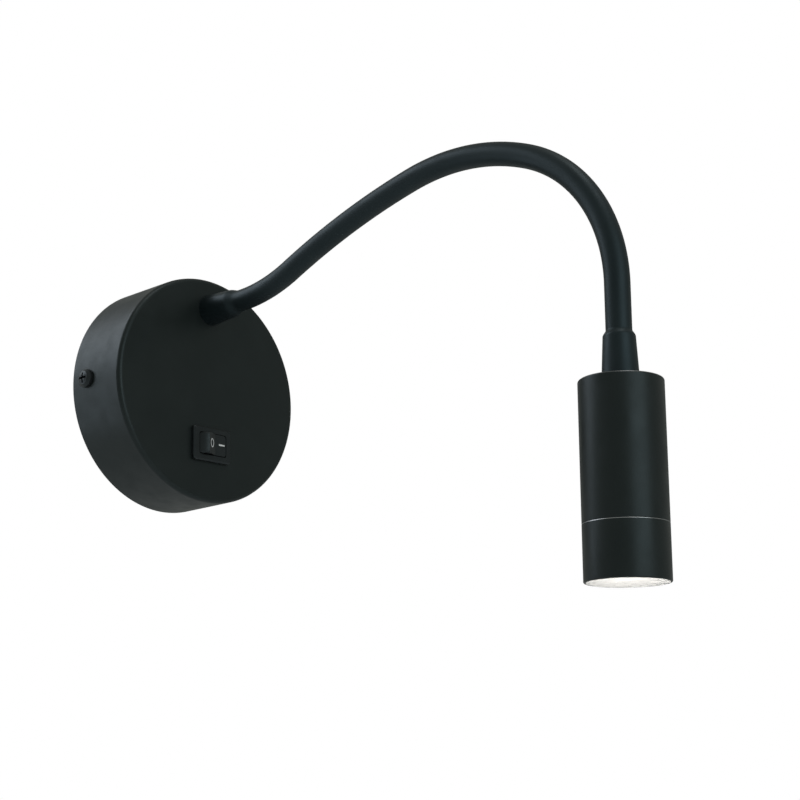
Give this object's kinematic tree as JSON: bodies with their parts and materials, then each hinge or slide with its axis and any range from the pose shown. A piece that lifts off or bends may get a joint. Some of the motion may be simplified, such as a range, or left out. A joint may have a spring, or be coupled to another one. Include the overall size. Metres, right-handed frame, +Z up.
{
  "type": "bedside wall reading lamp",
  "caption": "Wall reading lamp with a round canopy, rocker switch, bendable gooseneck and slim cylindrical spot head.",
  "frame": {"origin": "centre of the canopy's back on the wall, between the two wall screws", "axes": "+Z up, +Y into the wall, the lamp reaches out towards -Y, +X right as seen by someone facing the lamp"},
  "size_m": [0.1052, 0.2598, 0.1779],
  "materials": {
    "black_coat": "satin black powder coat on steel",
    "zinc_plate": "zinc-plated pressed steel",
    "black_screw": "black-coated steel",
    "zinc_screw": "zinc-plated steel",
    "brass": "plain brass",
    "copper": "silver-tinned copper alloy",
    "grommet_rubber": "black rubber",
    "nylon_white": "natural nylon",
    "driver_white": "white flame-retardant plastic",
    "foam_tape": "grey acrylic foam tape",
    "circuit_board": "glass-fibre board, green",
    "components": "wound and moulded electronic parts",
    "switch_black": "moulded black nylon",
    "spring_steel": "spring steel",
    "lead_brown": "brown insulation",
    "lead_blue": "blue insulation",
    "lead_green": "green and yellow insulation",
    "lead_white": "white two-core lead",
    "sleeve_black": "satin black silicone sleeve",
    "core_steel": "wound steel wire",
    "aluminium": "turned aluminium",
    "board_white": "aluminium board, white solder mask",
    "led_yellow": "phosphor package, lit",
    "reflector_silver": "metallised plastic",
    "lens_frost": "frosted lens, lit",
    "seal_grey": "silicone seal"
  },
  "bodies": {
    "base": {"canopy_shell": "black_coat", "wall_plate": "zinc_plate", "canopy_screws": "black_screw", "entry_grommet": "grommet_rubber", "terminal_block": "nylon_white", "terminal_inserts": "brass", "terminal_screws": "zinc_screw", "plate_screws": "zinc_screw", "earth_tag": "copper", "driver_tape": "foam_tape", "driver_case": "driver_white", "driver_lid": "driver_white", "driver_board": "circuit_board", "driver_components": "components", "switch_body": "switch_black", "switch_terminals": "brass", "live_leads": "lead_brown", "neutral_lead": "lead_blue", "earth_lead": "lead_green", "root_ferrule": "brass", "root_nut": "zinc_screw", "sleeve_0": "sleeve_black", "core_0": "core_steel", "led_lead_0": "lead_white"},
    "rocker": {"switch_rocker": "switch_black", "switch_plunger": "nylon_white", "switch_spring": "spring_steel"},
    "see_saw": {"switch_contact": "copper"},
    "link_1": {"sleeve_1": "sleeve_black", "core_1": "core_steel", "led_lead_1": "lead_white"},
    "link_2": {"sleeve_2": "sleeve_black", "core_2": "core_steel", "led_lead_2": "lead_white"},
    "link_3": {"sleeve_3": "sleeve_black", "core_3": "core_steel", "led_lead_3": "lead_white"},
    "link_4": {"sleeve_4": "sleeve_black", "core_4": "core_steel", "led_lead_4": "lead_white"},
    "link_5": {"sleeve_5": "sleeve_black", "core_5": "core_steel", "led_lead_5": "lead_white"},
    "link_6": {"sleeve_6": "sleeve_black", "core_6": "core_steel", "led_lead_6": "lead_white"},
    "head": {"head_ferrule": "brass", "head_nut": "zinc_screw", "head_body": "black_coat", "heat_sink": "aluminium", "led_board": "board_white", "led_emitter": "led_yellow", "board_screws": "zinc_screw", "reflector": "reflector_silver", "lens": "lens_frost", "lens_seal": "seal_grey", "front_ring": "black_coat", "sleeve_7": "sleeve_black", "core_7": "core_steel", "led_lead_7": "lead_white"}
  },
  "joints": [
    {"name": "neck_lift_1", "type": "hinge", "parent": "base", "child": "link_1", "pos_m": [0, -0.06898, 0.03807], "axis": [1, 0, 0], "range_deg": [-30, 16]},
    {"name": "neck_swing_2", "type": "hinge", "parent": "link_1", "child": "link_2", "pos_m": [0, -0.10305, 0.05042], "axis": [0, 0.3265, 0.9452], "range_deg": [-30, 30]},
    {"name": "neck_lift_3", "type": "hinge", "parent": "link_2", "child": "link_3", "pos_m": [0, -0.13792, 0.06036], "axis": [1, 0, 0], "range_deg": [-30, 16]},
    {"name": "neck_swing_4", "type": "hinge", "parent": "link_3", "child": "link_4", "pos_m": [0, -0.17383, 0.06446], "axis": [0, -0.0565, 0.9984], "range_deg": [-30, 30]},
    {"name": "neck_lift_5", "type": "hinge", "parent": "link_4", "child": "link_5", "pos_m": [0, -0.20883, 0.05576], "axis": [1, 0, 0], "range_deg": [-30, 16]},
    {"name": "neck_swing_6", "type": "hinge", "parent": "link_5", "child": "link_6", "pos_m": [0, -0.23584, 0.0323], "axis": [0, -0.8432, 0.5377], "range_deg": [-30, 30]},
    {"name": "neck_lift_7", "type": "hinge", "parent": "link_6", "child": "head", "pos_m": [0, -0.24571, -0.00209], "axis": [1, 0, 0], "range_deg": [-30, 16]},
    {"name": "rocker_tip", "type": "hinge", "parent": "base", "child": "rocker", "pos_m": [0, -0.0284, -0.025], "axis": [0, 0, -1], "range_deg": [0, 26]},
    {"name": "contact_tilt", "type": "hinge", "parent": "base", "child": "see_saw", "pos_m": [0, -0.0214, -0.025], "axis": [0, 0, 1], "range_deg": [0, 16]}
  ],
  "couplings": [
    {"joint": "contact_tilt", "follows": "rocker_tip", "ratio": 0.61538}
  ]
}
